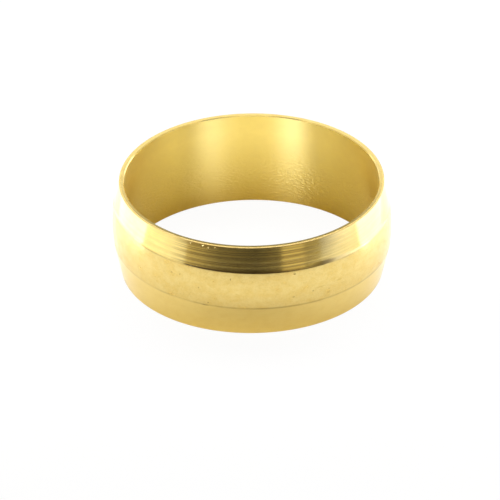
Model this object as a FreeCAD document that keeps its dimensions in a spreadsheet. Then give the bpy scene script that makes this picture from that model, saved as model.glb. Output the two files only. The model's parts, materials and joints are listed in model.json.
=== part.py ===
import FreeCAD, Part
import math
import os
import Sketcher

# Compression olive: one turned brass ring that slides over 15 mm pipe.
# Millimetres. +Z runs along the bore, and the origin is the centre of the lower end face.

NODE = "olive"

# Driving dimensions: alias, value, what it measures
SIZES = (
    ("bore_diameter", 15.1, "inside diameter, a running fit over 15 mm pipe"),
    ("shoulder_wall", 0.65, "wall thickness where a taper meets the land"),
    ("taper_angle", 12.0, "slope of both tapers away from the bore, in degrees"),
    ("lower_taper_height", 1.94, "height of the taper above the lower end face"),
    ("land_height", 2.38, "height of the land between the two tapers"),
    ("upper_taper_height", 1.58, "height of the taper below the upper end face"),
    ("crown_radius", 10.0, "radius of the barrel curve along the land"),
    ("bore_lead_in", 0.05, "chamfer at both mouths of the bore"),
    ("rim_radius", 0.04, "edge radius at the outside of both end faces"),
)
MATCH = 1e-6


def make_sheet(doc):
    """Write the driving dimensions into a sheet, one alias to a row."""
    sheet = doc.addObject("Spreadsheet::Sheet", "Sizes")
    for row, (alias, value, meaning) in enumerate(SIZES, start=1):
        sheet.set(f"A{row}", alias)
        sheet.set(f"B{row}", str(value))
        sheet.set(f"C{row}", meaning)
        sheet.setAlias(f"B{row}", alias)
    doc.recompute()
    return sheet


def origin_plane(body, role):
    """Return the plane of the body's own origin that has this role."""
    return next(item for item in body.Origin.OriginFeatures if item.Role == role)


def end_radius(sheet, taper_height):
    """Outside radius of the end face below or above a taper of this height."""
    shoulder_radius = sheet.bore_diameter / 2 + sheet.shoulder_wall
    return shoulder_radius - taper_height * math.tan(math.radians(sheet.taper_angle))


def draw_half_section(body, sheet):
    """Draw the ring's half section, with the bore wall beside the turning axis."""
    sketch = body.newObject("Sketcher::SketchObject", "HalfSection")
    sketch.AttachmentSupport = [(origin_plane(body, "XZ_Plane"), "")]
    sketch.MapMode = "FlatFace"

    # First positions of the corners, as distance from the axis and height
    bore_radius = sheet.bore_diameter / 2
    shoulder_radius = bore_radius + sheet.shoulder_wall
    land_bottom = sheet.lower_taper_height
    land_top = land_bottom + sheet.land_height
    top = land_top + sheet.upper_taper_height
    half_land = sheet.land_height / 2
    crown_rise = sheet.crown_radius - (sheet.crown_radius**2 - half_land**2) ** 0.5
    bore_foot = FreeCAD.Vector(bore_radius, 0, 0)
    rim_foot = FreeCAD.Vector(end_radius(sheet, sheet.lower_taper_height), 0, 0)
    lower_shoulder = FreeCAD.Vector(shoulder_radius, land_bottom, 0)
    crown = FreeCAD.Vector(shoulder_radius + crown_rise, land_bottom + half_land, 0)
    upper_shoulder = FreeCAD.Vector(shoulder_radius, land_top, 0)
    rim_head = FreeCAD.Vector(end_radius(sheet, sheet.upper_taper_height), top, 0)
    bore_head = FreeCAD.Vector(bore_radius, top, 0)

    # The outline, once round: end face, taper, crowned land, taper, end face, bore
    lower_face = sketch.addGeometry(Part.LineSegment(bore_foot, rim_foot))
    lower_taper = sketch.addGeometry(Part.LineSegment(rim_foot, lower_shoulder))
    land = sketch.addGeometry(Part.Arc(lower_shoulder, crown, upper_shoulder))
    upper_taper = sketch.addGeometry(Part.LineSegment(upper_shoulder, rim_head))
    upper_face = sketch.addGeometry(Part.LineSegment(rim_head, bore_head))
    bore = sketch.addGeometry(Part.LineSegment(bore_head, bore_foot))
    outline = [lower_face, lower_taper, land, upper_taper, upper_face, bore]
    start, end = 1, 2
    for line, following in zip(outline, outline[1:] + outline[:1]):
        sketch.addConstraint(Sketcher.Constraint("Coincident", line, end, following, start))

    # The lower end face lies on the floor, and both end faces are square to the bore
    origin_point, floor_line = -1, -1
    sketch.addConstraint(Sketcher.Constraint("PointOnObject", lower_face, start, floor_line))
    sketch.addConstraint(Sketcher.Constraint("Horizontal", lower_face))
    sketch.addConstraint(Sketcher.Constraint("Horizontal", upper_face))
    sketch.addConstraint(Sketcher.Constraint("Vertical", bore))
    sketch.addConstraint(Sketcher.Constraint("Vertical", land, start, land, end))

    # Sizes, each bound to its cell
    bound_sizes = (
        ("bore_radius", "Sizes.bore_diameter / 2",
         Sketcher.Constraint("DistanceX", origin_point, start, lower_face, start, bore_radius)),
        ("shoulder_wall", "Sizes.shoulder_wall",
         Sketcher.Constraint("DistanceX", lower_face, start, land, start, sheet.shoulder_wall)),
        ("lower_taper_height", "Sizes.lower_taper_height",
         Sketcher.Constraint("DistanceY", lower_taper, start, lower_taper, end, land_bottom)),
        ("land_height", "Sizes.land_height",
         Sketcher.Constraint("DistanceY", land, start, land, end, sheet.land_height)),
        ("upper_taper_height", "Sizes.upper_taper_height",
         Sketcher.Constraint("DistanceY", upper_taper, start, upper_taper, end,
                             sheet.upper_taper_height)),
        ("lower_taper_angle", "(90 - Sizes.taper_angle) * 1 deg",
         Sketcher.Constraint("Angle", lower_taper, math.radians(90 - sheet.taper_angle))),
        ("upper_taper_angle", "(90 + Sizes.taper_angle) * 1 deg",
         Sketcher.Constraint("Angle", upper_taper, math.radians(90 + sheet.taper_angle))),
        ("crown_radius", "Sizes.crown_radius",
         Sketcher.Constraint("Radius", land, sheet.crown_radius)),
    )
    for name, formula, constraint in bound_sizes:
        index = sketch.addConstraint(constraint)
        sketch.renameConstraint(index, name)
        sketch.setExpression(f"Constraints.{name}", formula)
    return sketch


def round_edges(shape, radius):
    """Name the circular edges of a shape that have this radius."""
    names = []
    for number, edge in enumerate(shape.Edges, start=1):
        if isinstance(edge.Curve, Part.Circle) and abs(edge.Curve.Radius - radius) < MATCH:
            names.append(f"Edge{number}")
    return names


def turn_ring(doc, sheet):
    """Turn the half section about the bore's axis and break its end edges."""
    body = doc.addObject("PartDesign::Body", "Ring")
    body.Label = NODE
    sketch = draw_half_section(body, sheet)
    doc.recompute()

    ring = body.newObject("PartDesign::Revolution", "TurnedRing")
    ring.Profile = sketch
    ring.ReferenceAxis = (sketch, ["V_Axis"])
    ring.Angle = 360
    doc.recompute()

    bore_radius = sheet.bore_diameter / 2
    lead_in = body.newObject("PartDesign::Chamfer", "BoreLeadIn")
    lead_in.Base = (ring, round_edges(ring.Shape, bore_radius))
    lead_in.setExpression("Size", "Sizes.bore_lead_in")
    doc.recompute()

    rims = body.newObject("PartDesign::Fillet", "RimEdges")
    rims.Base = (lead_in, round_edges(lead_in.Shape, end_radius(sheet, sheet.lower_taper_height))
                 + round_edges(lead_in.Shape, end_radius(sheet, sheet.upper_taper_height)))
    rims.setExpression("Radius", "Sizes.rim_radius")
    doc.recompute()
    body.Placement = FreeCAD.Placement()
    return body


def check(doc, bodies):
    """Stop before anything is written if an object failed or a solid is unsound."""
    for item in doc.Objects:
        if "Invalid" in item.State or "Error" in item.State:
            raise RuntimeError(f"{item.Label} failed to build")
    for body in bodies:
        if body.Shape.isNull() or not body.Shape.isValid():
            raise RuntimeError(f"{body.Label} is not a sound solid")


def main():
    doc = FreeCAD.newDocument("compression_olive")
    sheet = make_sheet(doc)
    olive = turn_ring(doc, sheet)
    doc.recompute()
    check(doc, [olive])
    os.makedirs("parts", exist_ok=True)
    olive.Shape.exportStep(f"parts/{olive.Label}.step")
    box = olive.Shape.optimalBoundingBox(False)
    print(f"{olive.Label}: {box.XLength:.3f} x {box.YLength:.3f} x {box.ZLength:.3f} mm,"
          f" {olive.Shape.Volume:.2f} mm3, {len(olive.Shape.Solids)} solid")


main()
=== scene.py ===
import json
import math

import bpy
from mathutils import Matrix, Vector


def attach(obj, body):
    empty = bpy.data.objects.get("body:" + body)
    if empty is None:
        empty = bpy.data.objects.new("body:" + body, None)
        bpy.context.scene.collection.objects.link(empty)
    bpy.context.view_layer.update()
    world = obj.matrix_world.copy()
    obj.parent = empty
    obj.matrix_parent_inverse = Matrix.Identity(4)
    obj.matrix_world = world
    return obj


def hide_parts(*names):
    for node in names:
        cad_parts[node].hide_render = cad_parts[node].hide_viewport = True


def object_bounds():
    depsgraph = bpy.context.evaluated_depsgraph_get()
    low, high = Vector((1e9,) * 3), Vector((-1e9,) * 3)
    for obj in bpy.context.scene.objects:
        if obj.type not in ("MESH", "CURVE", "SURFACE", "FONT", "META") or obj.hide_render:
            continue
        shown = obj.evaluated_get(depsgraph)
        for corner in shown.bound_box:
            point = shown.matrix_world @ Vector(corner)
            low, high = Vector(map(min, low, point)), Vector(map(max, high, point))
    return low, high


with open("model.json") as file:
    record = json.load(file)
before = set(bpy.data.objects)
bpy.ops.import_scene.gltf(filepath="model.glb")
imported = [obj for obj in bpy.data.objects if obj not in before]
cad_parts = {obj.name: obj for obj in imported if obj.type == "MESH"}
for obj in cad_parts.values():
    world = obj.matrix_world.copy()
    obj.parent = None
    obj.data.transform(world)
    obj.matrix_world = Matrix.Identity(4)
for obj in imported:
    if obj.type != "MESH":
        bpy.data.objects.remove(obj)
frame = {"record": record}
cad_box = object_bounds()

# A brass compression olive for 15 mm pipe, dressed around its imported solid.
# Metres throughout; sizes are written in millimetres times MM.
MM = 0.001

# The ring's section, from the bore outwards and from the foot up
mounts = {mount["name"]: mount for mount in frame["record"]["mounts"]}
BORE_RADIUS = mounts["pipe_bore"]["dims"]["r_mm"] * MM
HEIGHT = cad_box[1].z
SHOULDER_WALL = 0.65 * MM
TAPER_DEGREES = 12.0
LOWER_TAPER_HEIGHT = 1.94 * MM
UPPER_TAPER_HEIGHT = 1.58 * MM
CROWN_RADIUS = 10.0 * MM
LEAD_IN = 0.05 * MM
RIM_RADIUS = 0.04 * MM
SHOULDER_RADIUS = BORE_RADIUS + SHOULDER_WALL
TAPER_SLOPE = math.tan(math.radians(TAPER_DEGREES))
FOOT_RADIUS = SHOULDER_RADIUS - LOWER_TAPER_HEIGHT * TAPER_SLOPE
HEAD_RADIUS = SHOULDER_RADIUS - UPPER_TAPER_HEIGHT * TAPER_SLOPE
LAND_FOOT = LOWER_TAPER_HEIGHT
LAND_HEAD = HEIGHT - UPPER_TAPER_HEIGHT

# How the ring was turned
RING_STEPS = 512
RIM_STEPS = 4
LAND_STEPS = 20
BORE_STEPS = 12
BLEND_STEPS = 6
SCALLOP_STEPS = 4
UPPER_PASSES = 14
LOWER_PASSES = 14
PASS_SPREAD = 0.4
PASS_TURN = 2.4
UPPER_SCALLOP = 0.0005 * MM
LOWER_SCALLOP = 0.0004 * MM
TOOL_NOSE = 1.5 * MM
UPPER_BLEND_DEGREES = 9.0
LOWER_BLEND_DEGREES = 5.0
UPPER_LEAN = math.radians(1.2)
LOWER_LEAN = math.radians(0.7)
MERGE = 0.0001 * MM
SMOOTH_BELOW = math.radians(4)

# Brass colours
BRASS = (0.84, 0.655, 0.232)
LAND_BRASS = (0.79, 0.62, 0.235)
BRASS_DEEP = (0.74, 0.52, 0.14)
BRASS_DULL = (0.60, 0.43, 0.13)
# Dark brass of pits, nicks and stains, also used as painted shade in the shoulder creases, the front
# tool-line patch, a band on the upper shoulder and the end faces' outer edges
BRASS_PIT_AND_SHADE = (0.30, 0.20, 0.06)
BORE_BRASS = (0.83, 0.665, 0.19)
# Painted shade: the bore's colour darkens to this towards its foot
BORE_PAINTED_SHADE = (0.48, 0.33, 0.06)

# Grain of the finishes, in features a metre along X, Y and Z
TOOL_LINE_GRAIN = (45, 45, 11000)
MOTTLE_GRAIN = (1700, 1700, 2200)
FINE_GRAIN = (9000, 9000, 7000)
CREASE_SHADE_GRAIN = (350, 350, 350)
DRAW_LINE_GRAIN = (3200, 3200, 300)
RIPPLE_GRAIN = (4200, 4200, 9500)
PIT_GRAIN = 1500.0

# How strong and how deep the finishes are
UPPER_LINE_SHARE = 0.75
LOWER_LINE_SHARE = 0.04
UPPER_LINE_DEPTH = 0.0006 * MM
LOWER_LINE_DEPTH = 0.0004 * MM
TAPER_GRAIN_DEPTH = 0.001 * MM
NICK_DEPTH = 0.014 * MM
MOTTLE_DEPTH = 0.012 * MM
LAND_GRAIN_DEPTH = 0.0015 * MM
DRAW_LINE_DEPTH = 0.0005 * MM
PIT_DEPTH = 0.008 * MM
SCRATCH_DEPTH = 0.004 * MM
RIPPLE_DEPTH = 0.011 * MM
END_GRAIN_DEPTH = 0.0007 * MM

# The patch where tool lines are sharpest and painted darkest, as painted shade over the front of the upper
# taper, then single marks, each with its bearing from the front in degrees and its height, half length round
# the ring and half width in millimetres
SHARP_LINES_AND_SHADE = (-3, 5.1, 4.8, 4.0)
TAPER_STAINS_AND_SHADE = (
    (31, 4.36, 0.9, 0.22),
    # Painted shade: a long thin dark band along the upper shoulder at the front
    (-2, 4.4, 4.0, 0.15),
    (-20, 1.98, 0.3, 0.1),
)
TAPER_NICKS = (
    (-27, 5.8, 0.06, 0.04),
    (-21.5, 5.8, 0.09, 0.05),
    (-19, 5.72, 0.05, 0.05),
    (-16, 5.78, 0.06, 0.04),
)
LAND_PITS = (
    (-35, 3.65, 0.09, 0.05),
    (-31, 3.7, 0.05, 0.05),
    (-22.5, 3.1, 0.05, 0.06),
    (-18.5, 2.15, 0.06, 0.06),
    (-9, 3.95, 0.05, 0.08),
    (25.5, 2.7, 0.08, 0.05),
    (17, 2.55, 0.1, 0.05),
    (17.5, 4.1, 0.1, 0.06),
)
LAND_SCRATCHES = (
    (29, 2.85, 0.45, 0.05),
    (38, 2.9, 0.3, 0.05),
    (40, 2.6, 0.25, 0.04),
)

# The studio's sheets, colours and levels
SCREEN_DISTANCE = 30 * MM
SCREEN_HEIGHT = 6 * MM
SIDE_SCREEN_HEIGHT = 9 * MM
CARD_PLACE = (0, -42 * MM, 30 * MM)
CARD_WIDTH = 180 * MM
CARD_HEIGHT = 60 * MM
CARD_SHADE = (0.08, 0.06, 0.045)
FLOOR_SIZE = 2.0
FLOOR_SHADE = (0.8, 0.8, 0.8)
COOL = (0.85, 0.95, 1.3)
FAINT_COOL = (0.97, 1.0, 1.35)
ICY = (0.85, 0.97, 1.7)
WARM = (1.08, 0.96, 0.62)
WHITE = (1.0, 1.0, 1.0)
CREAM = (1.05, 1.0, 0.86)
FILL = 0.08
CAMERA_SHARE = 0.94
METAL_SHARE = 0.1

# The camera, from the photograph's own perspective
VIEW_ELEVATION = math.radians(30.96)
VIEW_DISTANCE = 539.4 * MM
VIEW_ROLL = math.radians(0.5)
FOCAL_PIXELS = 9090.7
IMAGE_PIXELS = 500
RING_CENTRE_PIXEL = (252.2, 222.5)


# Modelling


def polar(centre, radius, degrees):
    """A point of the section at this angle from the outward direction."""
    angle = math.radians(degrees)
    return Vector(centre) + radius * Vector((math.cos(angle), math.sin(angle)))


def arc(centre, radius, first, last, count):
    """Points along an arc, its ends included."""
    return [polar(centre, radius, first + (last - first) * step / count) for step in range(count + 1)]


def straight(start, end, count):
    """Points along a straight run, without its start."""
    return [Vector(start).lerp(Vector(end), step / count) for step in range(1, count + 1)]


def turned_run(start, end, passes, depth):
    """Points along a taper, without its start, scalloped by the passes of the tool."""
    along = Vector(end) - Vector(start)
    inward = Vector((-along.y, along.x)).normalized()
    points = []
    for number in range(passes):
        uneven = 1 - PASS_SPREAD + PASS_SPREAD * math.sin(PASS_TURN * number)
        for step in range(1, SCALLOP_STEPS + 1):
            share = step / SCALLOP_STEPS
            dip = 4 * depth * uneven * share * (1 - share)
            points.append(Vector(start) + along * ((number + share) / passes) + inward * dip)
    return points


def shoulder_blend(shoulder, side, degrees):
    """The hollow that the tool's nose leaves below a shoulder, from the shoulder towards the end face."""
    steepest = side * (TAPER_DEGREES + degrees)
    centre = polar(shoulder, TOOL_NOSE, steepest)
    return arc(centre, -TOOL_NOSE, steepest, side * TAPER_DEGREES, BLEND_STEPS)


def ring_section():
    """The section once round, as distance from the axis and height, from the bore's foot outwards."""
    half_land = (LAND_HEAD - LAND_FOOT) / 2
    crown_sweep = math.degrees(math.asin(half_land / CROWN_RADIUS))
    crown_centre = (SHOULDER_RADIUS - math.sqrt(CROWN_RADIUS**2 - half_land**2), LAND_FOOT + half_land)
    rim_inset = RIM_RADIUS * math.tan(math.radians(90 + TAPER_DEGREES) / 2)

    bore_foot = Vector((BORE_RADIUS, LEAD_IN))
    foot_face = [Vector((BORE_RADIUS + LEAD_IN, 0))]
    foot_rim = arc((FOOT_RADIUS - rim_inset, RIM_RADIUS), RIM_RADIUS, -90, -TAPER_DEGREES, RIM_STEPS)
    land = arc(crown_centre, CROWN_RADIUS, -crown_sweep, crown_sweep, LAND_STEPS)
    head_centre = (HEAD_RADIUS - rim_inset, HEIGHT - RIM_RADIUS)
    head_rim = arc(head_centre, RIM_RADIUS, TAPER_DEGREES, 90, RIM_STEPS)
    lower_blend = shoulder_blend(land[0], -1, LOWER_BLEND_DEGREES)
    upper_blend = shoulder_blend(land[-1], 1, UPPER_BLEND_DEGREES)
    lower_taper = turned_run(foot_rim[-1], lower_blend[-1], LOWER_PASSES, LOWER_SCALLOP)
    upper_taper = turned_run(upper_blend[-1], head_rim[0], UPPER_PASSES, UPPER_SCALLOP)
    outside = foot_rim + lower_taper + lower_blend[::-1] + land + upper_blend + upper_taper + head_rim
    head_face = [Vector((BORE_RADIUS + LEAD_IN, HEIGHT)), Vector((BORE_RADIUS, HEIGHT - LEAD_IN))]
    bore = straight(head_face[-1], bore_foot, BORE_STEPS)
    return [bore_foot] + foot_face + outside + head_face + bore


def turn_ring():
    """Trace the section by extruding one point, then turn it round the bore's axis."""
    section = ring_section()
    bpy.ops.object.select_all(action="DESELECT")
    bpy.ops.mesh.primitive_plane_add(size=LEAD_IN, location=(section[0].x, 0, section[0].y))
    ring = bpy.context.object
    ring.name = "brass_ring"
    bpy.ops.object.transform_apply(location=True)
    bpy.ops.object.mode_set(mode="EDIT")
    bpy.ops.mesh.select_all(action="SELECT")
    bpy.ops.mesh.merge(type="CENTER")
    for here, there in zip(section, section[1:]):
        step = there - here
        bpy.ops.mesh.extrude_region_move(TRANSFORM_OT_translate={"value": (step.x, 0, step.y)})
    bpy.ops.mesh.select_all(action="SELECT")
    bpy.ops.mesh.remove_doubles(threshold=MERGE)
    bpy.ops.object.mode_set(mode="OBJECT")
    lathe = ring.modifiers.new("lathe", "SCREW")
    lathe.axis = "Z"
    lathe.steps = RING_STEPS
    lathe.render_steps = RING_STEPS
    lathe.use_merge_vertices = True
    lathe.merge_threshold = MERGE
    bpy.ops.object.modifier_apply(modifier=lathe.name)
    bpy.ops.object.mode_set(mode="EDIT")
    bpy.ops.mesh.select_all(action="SELECT")
    bpy.ops.mesh.remove_doubles(threshold=MERGE)
    bpy.ops.mesh.normals_make_consistent(inside=False)
    bpy.ops.object.mode_set(mode="OBJECT")
    bpy.ops.object.shade_smooth_by_angle(angle=SMOOTH_BELOW)
    return ring


def lean_at(height):
    """How far the outside leans at this height: the tapers were cut a little out of square."""
    if height < LAND_FOOT:
        return LOWER_LEAN * height / LAND_FOOT
    if height < LAND_HEAD:
        share = (height - LAND_FOOT) / (LAND_HEAD - LAND_FOOT)
        return LOWER_LEAN + (UPPER_LEAN - LOWER_LEAN) * share
    return UPPER_LEAN * (HEIGHT - height) / (HEIGHT - LAND_HEAD)


def lean_outside(ring):
    """Lower the shoulders on one side of the ring and raise them on the other."""
    for vertex in ring.data.vertices:
        point = vertex.co
        if math.hypot(point.x, point.y) > FOOT_RADIUS - RIM_RADIUS:
            point.z -= point.x * math.tan(lean_at(point.z))


# Materials


def node(tree, kind, inputs=None, **attributes):
    """Add a shader node; an input takes a value or another node's socket."""
    made = tree.nodes.new("ShaderNode" + kind)
    for name, value in attributes.items():
        setattr(made, name, value)
    for key, value in (inputs or {}).items():
        if isinstance(value, bpy.types.NodeSocket):
            tree.links.new(value, made.inputs[key])
        else:
            made.inputs[key].default_value = value
    return made


def math_node(tree, operation, first, second=0.0):
    return node(tree, "Math", {0: first, 1: second}, operation=operation).outputs[0]


def remap(tree, value, low, high, to_low, to_high):
    """Take a value from one range to another, clamped."""
    inputs = {"Value": value, "From Min": low, "From Max": high, "To Min": to_low, "To Max": to_high}
    return node(tree, "MapRange", inputs).outputs[0]


def stretched_noise(tree, vector, stretch, detail=2.0, roughness=0.55):
    """Noise whose grain is this many features a metre along X, Y and Z."""
    mapped = node(tree, "Mapping", {"Vector": vector, "Scale": stretch})
    inputs = {"Vector": mapped.outputs[0], "Scale": 1.0, "Detail": detail, "Roughness": roughness}
    return node(tree, "TexNoise", inputs).outputs["Fac"]


def new_group(name, inputs, outputs):
    """An empty node group with a vector input, number inputs with these defaults, and number outputs."""
    group = bpy.data.node_groups.new(name, "ShaderNodeTree")
    group.interface.new_socket("Vector", in_out="INPUT", socket_type="NodeSocketVector")
    for socket, default in inputs.items():
        made = group.interface.new_socket(socket, in_out="INPUT", socket_type="NodeSocketFloat")
        made.default_value = default
    for socket in outputs:
        group.interface.new_socket(socket, in_out="OUTPUT", socket_type="NodeSocketFloat")
    entry = group.nodes.new("NodeGroupInput")
    leave = group.nodes.new("NodeGroupOutput")
    return group, entry.outputs, leave.inputs


def turning_lines():
    """Fine lines round the ring, as the tool leaves them."""
    group, given, made = new_group("turning_lines", {}, ("Fine",))
    fine = stretched_noise(group, given["Vector"], TOOL_LINE_GRAIN, 3.0, 0.7)
    group.links.new(fine, made["Fine"])
    return group


def handling_wear():
    """Mottling, fine grain and small pits from drawing, turning and handling."""
    group, given, made = new_group("handling_wear", {"Pit Share": 0.1}, ("Mottle", "Grain", "Pits"))
    mottle = stretched_noise(group, given["Vector"], MOTTLE_GRAIN, 3.0, 0.6)
    grain = stretched_noise(group, given["Vector"], FINE_GRAIN, 2.0, 0.6)
    cells = node(group, "TexVoronoi", {"Vector": given["Vector"], "Scale": PIT_GRAIN})
    lot = node(group, "SeparateColor", {0: cells.outputs["Color"]})
    chosen = math_node(group, "LESS_THAN", lot.outputs[0], given["Pit Share"])
    size = remap(group, lot.outputs[1], 0.0, 1.0, 0.05, 0.12)
    away = math_node(group, "DIVIDE", cells.outputs["Distance"], size)
    depth = math_node(group, "SUBTRACT", 1.0, away)
    pits = math_node(group, "MULTIPLY", math_node(group, "MAXIMUM", depth, 0.0), chosen)
    group.links.new(mottle, made["Mottle"])
    group.links.new(grain, made["Grain"])
    group.links.new(pits, made["Pits"])
    return group


def shoulder_crease_shade():
    """Thin broken lines of painted shade along both shoulder creases, which lean with them."""
    group, given, made = new_group("shoulder_crease_shade", {"Width": 0.1 * MM}, ("Crease Shade",))
    place = node(group, "SeparateXYZ", {0: given["Vector"]})
    patchy = stretched_noise(group, given["Vector"], CREASE_SHADE_GRAIN, 3.0, 0.6)
    lines = []
    for height, lean in ((LAND_FOOT, LOWER_LEAN), (LAND_HEAD, UPPER_LEAN)):
        dropped = math_node(group, "MULTIPLY", place.outputs["X"], math.tan(lean))
        level = math_node(group, "ADD", place.outputs["Z"], dropped)
        away = math_node(group, "ABSOLUTE", math_node(group, "SUBTRACT", level, height))
        share = math_node(group, "DIVIDE", away, given["Width"])
        lines.append(math_node(group, "MAXIMUM", math_node(group, "SUBTRACT", 1.0, share), 0.0))
    both = math_node(group, "MAXIMUM", lines[0], lines[1])
    crease_shade = math_node(group, "MULTIPLY", both, remap(group, patchy, 0.4, 0.62, 0.15, 0.55))
    group.links.new(crease_shade, made["Crease Shade"])
    return group


def nick_mark():
    """One small oval mark on the ring, by its bearing, height, half length round it and half width."""
    defaults = {"Bearing": 0.0, "Height": 0.0, "Length": 0.1 * MM, "Width": 0.1 * MM}
    group, given, made = new_group("nick_mark", defaults, ("Mark",))
    place = node(group, "SeparateXYZ", {0: given["Vector"]})
    forward = math_node(group, "MULTIPLY", place.outputs["Y"], -1.0)
    bearing = math_node(group, "ARCTAN2", place.outputs["X"], forward)
    turn = math_node(group, "SUBTRACT", bearing, given["Bearing"])
    along = math_node(group, "MULTIPLY", turn, SHOULDER_RADIUS)
    around = math_node(group, "DIVIDE", along, given["Length"])
    rise = math_node(group, "SUBTRACT", place.outputs["Z"], given["Height"])
    above = math_node(group, "DIVIDE", rise, given["Width"])
    around_squared = math_node(group, "POWER", around, 2.0)
    above_squared = math_node(group, "POWER", above, 2.0)
    squares = math_node(group, "ADD", around_squared, above_squared)
    mark = math_node(group, "MAXIMUM", math_node(group, "SUBTRACT", 1.0, squares), 0.0)
    group.links.new(mark, made["Mark"])
    return group


def place_group(tree, group, vector, inputs=None):
    """Put a node group into a tree and give its outputs."""
    placed = node(tree, "Group")
    placed.node_tree = group
    tree.links.new(vector, placed.inputs["Vector"])
    for key, value in (inputs or {}).items():
        placed.inputs[key].default_value = value
    return placed.outputs


def all_marks(tree, nick, vector, marks):
    """The strongest of several single marks."""
    strongest = 0.0
    for bearing, height, length, width in marks:
        sizes = {
            "Bearing": math.radians(bearing),
            "Height": height * MM,
            "Length": length * MM,
            "Width": width * MM,
        }
        mark = place_group(tree, nick, vector, sizes)["Mark"]
        strongest = math_node(tree, "MAXIMUM", strongest, mark)
    return strongest


def mix_colour(tree, share, first, second):
    """Mix a colour, or an earlier mix, with a second colour."""
    base = (*first, 1) if isinstance(first, tuple) else first
    return node(tree, "Mix", {0: share, 6: base, 7: (*second, 1)}, data_type="RGBA").outputs[2]


def new_brass(name):
    """An empty brass material: its tree, its shader and the ring's own coordinates."""
    material = bpy.data.materials.new(name)
    material.use_nodes = True
    tree = material.node_tree
    shader = tree.nodes["Principled BSDF"]
    shader.inputs["Metallic"].default_value = 1.0
    place = node(tree, "TexCoord").outputs["Object"]
    return material, tree, shader, place


def bump(tree, height, depth, below=None):
    """A bump this deep in metres, over another if one is given."""
    inputs = {"Height": height, "Distance": depth, "Strength": 1.0}
    if below is not None:
        inputs["Normal"] = below
    return node(tree, "Bump", inputs).outputs[0]


def taper_brass(name, lines, wear, crease_shade, nick, line_share, line_depth):
    """Turned brass of a taper: bright, with tool lines round it."""
    material, tree, shader, place = new_brass(name)
    turned = place_group(tree, lines, place)
    worn = place_group(tree, wear, place, {"Pit Share": 0.05})
    # Tool lines are real marks; over the front patch they are cut deeper and painted darker, as painted
    # shade.
    sharp_and_shaded = remap(tree, all_marks(tree, nick, place, (SHARP_LINES_AND_SHADE,)), 0.0, 0.5, 0.2, 1.0)
    tool_lines = math_node(tree, "MULTIPLY", remap(tree, turned["Fine"], 0.45, 0.58, 0.0, 1.0), sharp_and_shaded)
    colour = mix_colour(tree, math_node(tree, "MULTIPLY", tool_lines, line_share), BRASS, BRASS_PIT_AND_SHADE)
    colour = mix_colour(tree, remap(tree, worn["Mottle"], 0.4, 0.7, 0.0, 0.25), colour, BRASS_DEEP)
    colour = mix_colour(tree, worn["Pits"], colour, BRASS_DULL)
    # Two stains, and a band of painted shade along the upper shoulder at the front.
    stains_and_shade = all_marks(tree, nick, place, TAPER_STAINS_AND_SHADE)
    colour = mix_colour(tree, math_node(tree, "MULTIPLY", stains_and_shade, 0.75), colour, BRASS_PIT_AND_SHADE)
    nicks = all_marks(tree, nick, place, TAPER_NICKS)
    colour = mix_colour(tree, nicks, colour, BRASS_PIT_AND_SHADE)
    # Painted shade along both shoulder creases.
    colour = mix_colour(tree, place_group(tree, crease_shade, place)["Crease Shade"], colour, BRASS_PIT_AND_SHADE)
    tree.links.new(colour, shader.inputs["Base Color"])
    tree.links.new(remap(tree, turned["Fine"], 0.35, 0.7, 0.10, 0.2), shader.inputs["Roughness"])
    relief = bump(tree, tool_lines, -line_depth)
    relief = bump(tree, worn["Grain"], TAPER_GRAIN_DEPTH, relief)
    relief = bump(tree, nicks, -NICK_DEPTH, relief)
    tree.links.new(relief, shader.inputs["Normal"])
    return material


def land_brass(wear, crease_shade, nick):
    """Drawn brass of the land: smooth and mottled, with a few pits."""
    material, tree, shader, place = new_brass("drawn_land_brass")
    worn = place_group(tree, wear, place, {"Pit Share": 0.08})
    pits = all_marks(tree, nick, place, LAND_PITS)
    scratches = all_marks(tree, nick, place, LAND_SCRATCHES)
    draw_lines = stretched_noise(tree, place, DRAW_LINE_GRAIN, 2.0, 0.5)
    colour = mix_colour(tree, remap(tree, worn["Mottle"], 0.35, 0.7, 0.0, 0.75), LAND_BRASS, BRASS_DEEP)
    colour = mix_colour(tree, remap(tree, draw_lines, 0.5, 0.75, 0.0, 0.06), colour, BRASS_DULL)
    colour = mix_colour(tree, remap(tree, worn["Grain"], 0.5, 0.75, 0.0, 0.35), colour, BRASS_DULL)
    colour = mix_colour(tree, worn["Pits"], colour, BRASS_PIT_AND_SHADE)
    colour = mix_colour(tree, math_node(tree, "MULTIPLY", pits, 0.7), colour, BRASS_PIT_AND_SHADE)
    colour = mix_colour(tree, math_node(tree, "MULTIPLY", scratches, 0.6), colour, BRASS_DULL)
    # Painted shade along both shoulder creases.
    colour = mix_colour(tree, place_group(tree, crease_shade, place)["Crease Shade"], colour, BRASS_PIT_AND_SHADE)
    tree.links.new(colour, shader.inputs["Base Color"])
    tree.links.new(remap(tree, worn["Mottle"], 0.3, 0.7, 0.18, 0.28), shader.inputs["Roughness"])
    relief = bump(tree, worn["Mottle"], MOTTLE_DEPTH)
    relief = bump(tree, worn["Grain"], LAND_GRAIN_DEPTH, relief)
    relief = bump(tree, draw_lines, DRAW_LINE_DEPTH, relief)
    relief = bump(tree, worn["Pits"], -PIT_DEPTH, relief)
    relief = bump(tree, pits, -PIT_DEPTH, relief)
    relief = bump(tree, scratches, -SCRATCH_DEPTH, relief)
    tree.links.new(relief, shader.inputs["Normal"])
    return material


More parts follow.
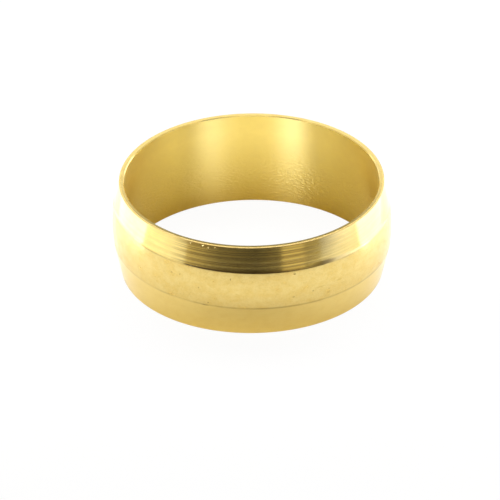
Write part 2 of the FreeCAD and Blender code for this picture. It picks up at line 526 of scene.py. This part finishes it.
def bore_brass(wear):
    """Drawn brass of the bore: satin, with short ripples round it low down, and painted shade darkening it
    towards its foot.
    """
    material, tree, shader, place = new_brass("rippled_bore_brass")
    shader.inputs["Anisotropic"].default_value = 0.9
    shader.inputs["Anisotropic Rotation"].default_value = 0.25
    worn = place_group(tree, wear, place, {"Pit Share": 0.0})
    waves = stretched_noise(tree, place, RIPPLE_GRAIN, 1.0, 0.5)
    ripples = remap(tree, waves, 0.42, 0.66, 0.0, 1.0)
    height = node(tree, "SeparateXYZ", {0: place}).outputs["Z"]
    above_foot = remap(tree, height, 0.0, 0.25 * HEIGHT, 0.3, 1.0)
    below_head = remap(tree, height, 0.25 * HEIGHT, 0.7 * HEIGHT, 1.0, 0.0)
    midway = math_node(tree, "MULTIPLY", above_foot, below_head)
    # Painted shade: the colour darkens towards the bore's foot.
    deep = remap(tree, height, 0.05 * HEIGHT, 0.8 * HEIGHT, 1.0, 0.0)
    colour = mix_colour(tree, deep, BORE_BRASS, BORE_PAINTED_SHADE)
    colour = mix_colour(tree, remap(tree, worn["Mottle"], 0.4, 0.7, 0.0, 0.1), colour, BRASS_DULL)
    tree.links.new(colour, shader.inputs["Base Color"])
    tree.links.new(remap(tree, worn["Mottle"], 0.3, 0.7, 0.35, 0.38), shader.inputs["Roughness"])
    relief = bump(tree, math_node(tree, "MULTIPLY", ripples, midway), RIPPLE_DEPTH)
    tree.links.new(relief, shader.inputs["Normal"])
    return material


def end_brass(wear):
    """Faced brass of the end faces and their edges."""
    material, tree, shader, place = new_brass("faced_end_brass")
    worn = place_group(tree, wear, place)
    colour = mix_colour(tree, remap(tree, worn["Mottle"], 0.3, 0.7, 0.0, 0.6), BRASS, BRASS_DEEP)
    axis_to_point = node(tree, "VectorMath", {0: place, 1: (1, 1, 0)}, operation="MULTIPLY").outputs[0]
    radius = node(tree, "VectorMath", {0: axis_to_point}, operation="LENGTH").outputs["Value"]
    # Painted shade: the outer edge is darkened, which dulls its highlight; it is also made rougher.
    edge = remap(tree, radius, HEAD_RADIUS - 0.10 * MM, HEAD_RADIUS - 0.05 * MM, 0.0, 0.6)
    colour = mix_colour(tree, edge, colour, BRASS_PIT_AND_SHADE)
    tree.links.new(colour, shader.inputs["Base Color"])
    tree.links.new(math_node(tree, "ADD", edge, 0.14), shader.inputs["Roughness"])
    relief = bump(tree, worn["Grain"], END_GRAIN_DEPTH)
    tree.links.new(relief, shader.inputs["Normal"])
    return material


def finish_ring(ring):
    """Give each turned surface of the ring its own finish."""
    lines = turning_lines()
    wear = handling_wear()
    crease_shade = shoulder_crease_shade()
    nick = nick_mark()
    groups = (lines, wear, crease_shade, nick)
    upper_finish = taper_brass("upper_taper_brass", *groups, UPPER_LINE_SHARE, UPPER_LINE_DEPTH)
    lower_finish = taper_brass("lower_taper_brass", *groups, LOWER_LINE_SHARE, LOWER_LINE_DEPTH)
    land_finish = land_brass(wear, crease_shade, nick)
    finishes = (bore_brass(wear), end_brass(wear), lower_finish, land_finish, upper_finish)
    bore, end, lower_taper, land, upper_taper = range(len(finishes))
    for material in finishes:
        ring.data.materials.append(material)
    for face in ring.data.polygons:
        centre, normal = face.center, face.normal
        lean = centre.x * math.tan(lean_at(centre.z))
        if not RIM_RADIUS < centre.z < HEIGHT - RIM_RADIUS:
            face.material_index = end
        elif normal.x * centre.x + normal.y * centre.y < 0:
            face.material_index = bore
        elif centre.z + lean < LAND_FOOT:
            face.material_index = lower_taper
        elif centre.z + lean < LAND_HEAD:
            face.material_index = land
        else:
            face.material_index = upper_taper


# The studio


def new_surface(name):
    """An empty material for the studio, and its node tree."""
    material = bpy.data.materials.new(name)
    material.use_nodes = True
    tree = material.node_tree
    tree.nodes.clear()
    return material, tree


def stand_sheet(name, place, width, height, material, bearing=0.0):
    """Stand a sheet facing the ring, which shows in the metal and not to the camera."""
    bpy.ops.object.select_all(action="DESELECT")
    bpy.ops.mesh.primitive_plane_add(size=1, location=place, rotation=(math.radians(90), 0, bearing))
    made = bpy.context.object
    made.name = name
    made.scale = (width, height, 1)
    made.data.materials.append(material)
    made.visible_camera = False


def stand_card(name):
    """A dark card before the ring, behind the screens."""
    material, tree = new_surface(name)
    paper = node(tree, "BsdfDiffuse", {"Color": (*CARD_SHADE, 1)})
    node(tree, "OutputMaterial", {"Surface": paper.outputs[0]})
    stand_sheet(name, CARD_PLACE, CARD_WIDTH, CARD_HEIGHT, material)


def screen(name, first, last, first_radiance, last_radiance, colour=WARM, height=SCREEN_HEIGHT):
    """A low lit screen before the ring, graded between two bearings in degrees."""
    middle = math.radians((first + last) / 2)
    width = 2 * SCREEN_DISTANCE * math.tan(math.radians(last - first) / 2)
    place = (SCREEN_DISTANCE * math.sin(middle), -SCREEN_DISTANCE * math.cos(middle), height / 2)
    material, tree = new_surface(name)
    along = node(tree, "SeparateXYZ", {0: node(tree, "TexCoord").outputs["Object"]}).outputs["X"]
    strength = remap(tree, along, -0.5, 0.5, first_radiance, last_radiance)
    lit = node(tree, "Emission", {"Color": (*colour, 1), "Strength": strength})
    node(tree, "OutputMaterial", {"Surface": lit.outputs[0]})
    stand_sheet(name, place, width, height, material, middle)


def panel(name, centre, size, toward, radiance, colour=WHITE, in_metal_only=False):
    """A soft rectangular lamp, sizes in millimetres, as bright as this where it is seen in the metal."""
    width, height = (length * MM for length in size)
    data = bpy.data.lights.new(name, "AREA")
    data.shape = "RECTANGLE"
    data.size = width
    data.size_y = height
    data.energy = radiance * math.pi * width * height
    data.color = colour
    lamp = bpy.data.objects.new(name, data)
    bpy.context.scene.collection.objects.link(lamp)
    lamp.location = Vector(centre) * MM
    lamp.rotation_euler = Vector(toward).to_track_quat("-Z", "Y").to_euler()
    lamp.visible_camera = False
    lamp.visible_diffuse = not in_metal_only


def stand_screens():
    """Dim screens before the ring, which darken the front of its upper taper."""
    screen("far_left_screen", -95, -47.5, 2.0, 1.05, WHITE, SIDE_SCREEN_HEIGHT)
    screen("left_screen", -47.5, -33, 0.62, 0.38)
    screen("dim_left_screen", -33, -22, 0.35, 0.19)
    screen("dark_screen", -22, 3, 0.19, 0.085)
    screen("dim_right_screen", 3, 21, 0.085, 0.22)
    screen("pale_screen", 21, 37, 0.68, 0.66)
    screen("right_screen", 37, 50, 0.37, 0.40)
    screen("far_right_screen", 50, 95, 0.37, 2.7, FAINT_COOL, SIDE_SCREEN_HEIGHT)


def hang_panels():
    """Panels round the ring, like a small light tent with a dim front."""
    front, back, left, right = (0, -1, 0), (0, 1, 0), (-1, 0, 0), (1, 0, 0)
    panel("front_high", (0, -40, 63), (140, 62), back, 0.8, CREAM)
    panel("top_front", (0, -25, 105), (150, 70), (0, 0, -1), 0.25)
    panel("left_strip", (-34, -40, 35), (24, 34), back, 15.5, ICY, in_metal_only=True)
    panel("right_strip", (32.5, -40, 35), (23, 34), back, 12.5, ICY, in_metal_only=True)
    panel("middle_strip", (0, -40, 35), (42, 34), back, 4.6, in_metal_only=True)
    panel("left_high", (-45, 0, 53), (100, 58), right, 0.72, CREAM)
    panel("left_near", (-16, 14, 5), (36, 10), right, 1.5, COOL)
    panel("right_high", (45, 0, 53), (100, 58), left, 0.72, CREAM)
    panel("right_near", (16, 14, 8), (36, 16), left, 1.35, COOL)
    panel("back_low", (0, 50, 12.5), (120, 25), front, 1.0)
    panel("back_high", (0, 50, 31), (120, 13), front, 1.1)
    panel("back_sky", (0, 60, 110), (200, 60), (0, -60, -110), 6.2)


def background_share(tree):
    """How much of the plain white background shows: most of it to the camera, some of it in the metal."""
    path = node(tree, "LightPath")
    seen = math_node(tree, "MULTIPLY", path.outputs["Is Camera Ray"], CAMERA_SHARE)
    mirrored = math_node(tree, "MULTIPLY", path.outputs["Is Glossy Ray"], METAL_SHARE)
    return math_node(tree, "ADD", seen, mirrored)


def lay_floor():
    """A white floor that keeps the ring's soft shadow."""
    bpy.ops.object.select_all(action="DESELECT")
    bpy.ops.mesh.primitive_plane_add(size=FLOOR_SIZE)
    floor = bpy.context.object
    floor.name = "floor"
    material, tree = new_surface("white_floor")
    paper = node(tree, "BsdfDiffuse", {"Color": (*FLOOR_SHADE, 1)})
    white = node(tree, "Emission", {"Color": (1, 1, 1, 1), "Strength": 1.0})
    share = background_share(tree)
    mixed = node(tree, "MixShader", {0: share, 1: paper.outputs[0], 2: white.outputs[0]})
    node(tree, "OutputMaterial", {"Surface": mixed.outputs[0]})
    floor.data.materials.append(material)


def light_world():
    """Even light from all round, with a white background for the camera."""
    world = bpy.data.worlds.new("studio")
    bpy.context.scene.world = world
    world.use_nodes = True
    tree = world.node_tree
    background = tree.nodes["Background"]
    background.inputs["Color"].default_value = (1, 1, 1, 1)
    strength = remap(tree, background_share(tree), 0.0, CAMERA_SHARE, FILL, 1.0)
    tree.links.new(strength, background.inputs["Strength"])


def set_camera():
    """Aim a long lens at the ring, rolled a little, as the photograph was taken."""
    data = bpy.data.cameras.new("camera")
    camera = bpy.data.objects.new("camera", data)
    bpy.context.scene.collection.objects.link(camera)
    bpy.context.scene.camera = camera
    data.sensor_width = 36
    data.lens = FOCAL_PIXELS / IMAGE_PIXELS * data.sensor_width
    data.clip_start = 0.01
    data.clip_end = 10
    back = Vector((0, -math.cos(VIEW_ELEVATION), math.sin(VIEW_ELEVATION)))
    right = Vector((1, 0, 0))
    up = back.cross(right)
    pixel = VIEW_DISTANCE / FOCAL_PIXELS
    aim = Vector((0, 0, HEIGHT / 2))
    aim -= right * (RING_CENTRE_PIXEL[0] - IMAGE_PIXELS / 2) * pixel
    aim += up * (RING_CENTRE_PIXEL[1] - IMAGE_PIXELS / 2) * pixel
    camera.location = aim + back * VIEW_DISTANCE
    level = back.to_track_quat("Z", "Y").to_matrix()
    camera.rotation_euler = (level @ Matrix.Rotation(-VIEW_ROLL, 3, "Z")).to_euler()


ring = turn_ring()
lean_outside(ring)
finish_ring(ring)
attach(ring, "root")
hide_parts("olive")

lay_floor()
stand_card("dark_card")
stand_screens()
hang_panels()
light_world()
set_camera()
bpy.context.scene.view_settings.view_transform = "Standard"
